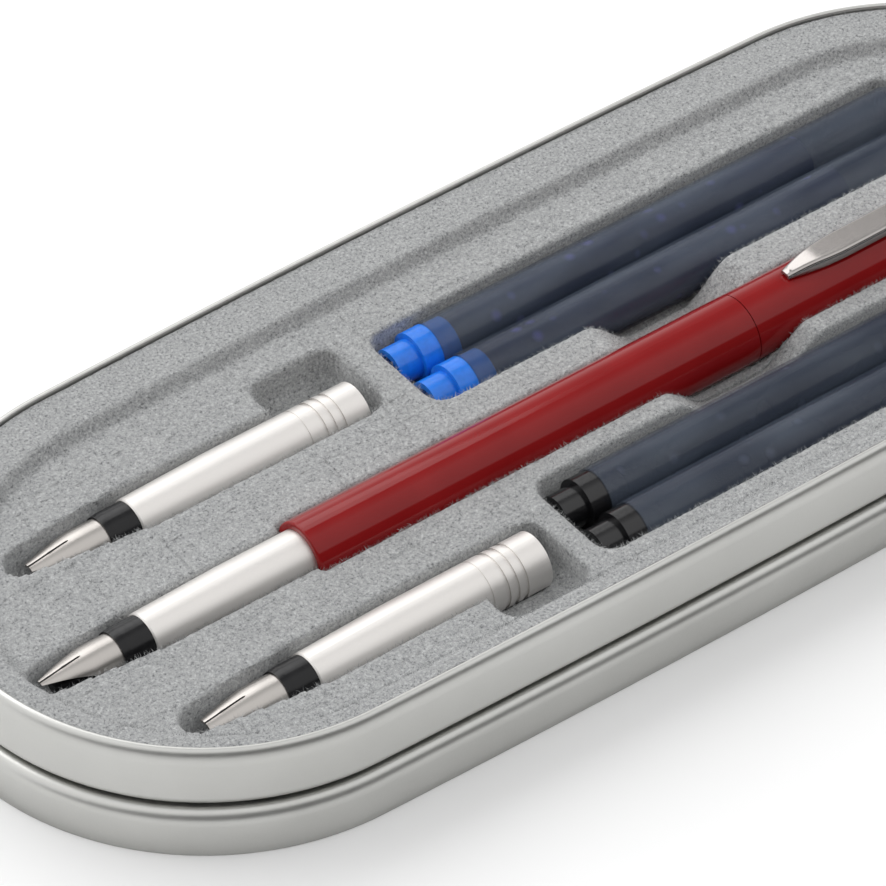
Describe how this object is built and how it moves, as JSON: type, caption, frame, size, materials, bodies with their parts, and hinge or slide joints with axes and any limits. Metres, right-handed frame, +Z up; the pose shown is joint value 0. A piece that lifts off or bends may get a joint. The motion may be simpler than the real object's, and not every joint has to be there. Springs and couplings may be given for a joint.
{
  "type": "fountain pen case",
  "caption": "Slip-lid metal tin with a flocked tray holding a posted fountain pen, spare nib sections and ink cartridges; the open base stands on its lid.",
  "frame": {"origin": "on the floor, under the middle of the lid", "axes": "+X along the tin from the nibs to the cap's end, +Y across to the far side, +Z up"},
  "size_m": [0.1732, 0.0694, 0.0182],
  "materials": {
    "tin_lid": "satin nickel-plated tinplate",
    "tin_base": "satin nickel-plated tinplate",
    "flock": "grey flocking on a formed sheet",
    "red_lacquer": "smooth red lacquer",
    "clip_steel": "fine-brushed steel",
    "section_steel": "satin steel",
    "nib_steel": "polished steel",
    "black_plastic": "moulded gloss black",
    "grey_plastic": "moulded matt grey",
    "cartridge_tube": "clear blow-moulded plastic",
    "blue_mouth": "moulded gloss blue",
    "black_mouth": "moulded gloss black",
    "seal_plastic": "thin moulded disc",
    "blue_ink": "dark blue liquid",
    "black_ink": "black liquid"
  },
  "bodies": {
    "lid": {"lid_shell": "tin_lid"},
    "base": {"base_shell": "tin_base"},
    "tray": {"tray": "flock"},
    "pen": {"pen_barrel": "red_lacquer"},
    "pen_section": {"pen_sleeve": "section_steel", "pen_core": "black_plastic", "pen_collar": "black_plastic", "pen_feed": "black_plastic", "pen_nib": "nib_steel"},
    "cap": {"cap_shell": "red_lacquer", "cap_liner": "grey_plastic", "cap_plug": "red_lacquer"},
    "clip": {"cap_clip": "clip_steel"},
    "far_spare": {"far_sleeve": "section_steel", "far_core": "black_plastic", "far_collar": "black_plastic", "far_feed": "black_plastic", "far_nib": "nib_steel"},
    "near_spare": {"near_sleeve": "section_steel", "near_core": "black_plastic", "near_collar": "black_plastic", "near_feed": "black_plastic", "near_nib": "nib_steel"},
    "far_blue_cartridge": {"far_blue_tube": "cartridge_tube", "far_blue_mouth": "blue_mouth", "far_blue_seal": "seal_plastic", "far_blue_ink": "blue_ink"},
    "near_blue_cartridge": {"near_blue_tube": "cartridge_tube", "near_blue_mouth": "blue_mouth", "near_blue_seal": "seal_plastic", "near_blue_ink": "blue_ink"},
    "far_black_cartridge": {"far_black_tube": "cartridge_tube", "far_black_mouth": "black_mouth", "far_black_seal": "seal_plastic", "far_black_ink": "black_ink"},
    "near_black_cartridge": {"near_black_tube": "cartridge_tube", "near_black_mouth": "black_mouth", "near_black_seal": "seal_plastic", "near_black_ink": "black_ink"}
  },
  "joints": [
    {"name": "base_lift", "type": "slide", "parent": "lid", "child": "base", "axis": [0, 0, 1], "range_m": [0, 0.03]},
    {"name": "tray_lift", "type": "slide", "parent": "base", "child": "tray", "axis": [0, 0, 1], "range_m": [0, 0.02]},
    {"name": "pen_lift", "type": "slide", "parent": "tray", "child": "pen", "axis": [0, 0, 1], "range_m": [0, 0.03]},
    {"name": "section_unscrew", "type": "hinge", "parent": "pen", "child": "pen_section", "pos_m": [-0.0433, -0.0049, 0.0119], "axis": [-1, 0, 0], "range_deg": [0, 1080]},
    {"name": "cap_pull", "type": "slide", "parent": "pen", "child": "cap", "axis": [1, 0, 0], "range_m": [0, 0.003]},
    {"name": "clip_flex", "type": "hinge", "parent": "cap", "child": "clip", "pos_m": [0.0755, -0.0049, 0.0163], "axis": [0, 1, 0], "range_deg": [0, 4], "stiffness_Nm_per_rad": 0.5},
    {"name": "far_spare_lift", "type": "slide", "parent": "tray", "child": "far_spare", "axis": [0, 0, 1], "range_m": [0, 0.03]},
    {"name": "near_spare_lift", "type": "slide", "parent": "tray", "child": "near_spare", "axis": [0, 0, 1], "range_m": [0, 0.03]},
    {"name": "far_blue_lift", "type": "slide", "parent": "tray", "child": "far_blue_cartridge", "axis": [0, 0, 1], "range_m": [0, 0.03]},
    {"name": "near_blue_lift", "type": "slide", "parent": "tray", "child": "near_blue_cartridge", "axis": [0, 0, 1], "range_m": [0, 0.03]},
    {"name": "far_black_lift", "type": "slide", "parent": "tray", "child": "far_black_cartridge", "axis": [0, 0, 1], "range_m": [0, 0.03]},
    {"name": "near_black_lift", "type": "slide", "parent": "tray", "child": "near_black_cartridge", "axis": [0, 0, 1], "range_m": [0, 0.03]}
  ]
}
